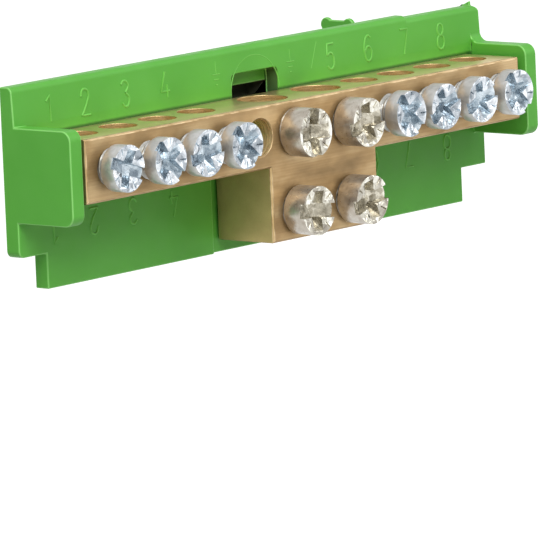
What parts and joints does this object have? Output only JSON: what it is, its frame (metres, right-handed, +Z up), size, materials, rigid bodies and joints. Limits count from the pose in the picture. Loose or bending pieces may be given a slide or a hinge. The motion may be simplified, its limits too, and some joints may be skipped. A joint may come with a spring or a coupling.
{
  "type": "earth terminal bar",
  "caption": "Earth terminal bar: a T-shaped brass bar with clamping screws along its front, seated between the cheeks of a green moulded carrier with a rear plug foot.",
  "frame": {"origin": "on the axis of the plug foot, midway along its plain part", "axes": "+X along the bar to the right of someone facing the screws, +Y out of the back along the plug foot, +Z up"},
  "size_m": [0.0928, 0.0227, 0.0264],
  "materials": {
    "carrier": "satin moulded",
    "bar": "drawn and bored, lightly brushed",
    "small_screw": "bright blue-white zinc",
    "large_screw": "bright nickel"
  },
  "bodies": {
    "root": {"carrier": "carrier", "terminal_bar": "bar", "small_screw_1": "small_screw", "small_screw_2": "small_screw", "small_screw_3": "small_screw", "small_screw_4": "small_screw", "small_screw_5": "small_screw", "small_screw_6": "small_screw", "small_screw_7": "small_screw", "small_screw_8": "small_screw", "large_screw_1": "large_screw", "large_screw_2": "large_screw", "large_screw_3": "large_screw", "large_screw_4": "large_screw"}
  },
  "joints": []
}
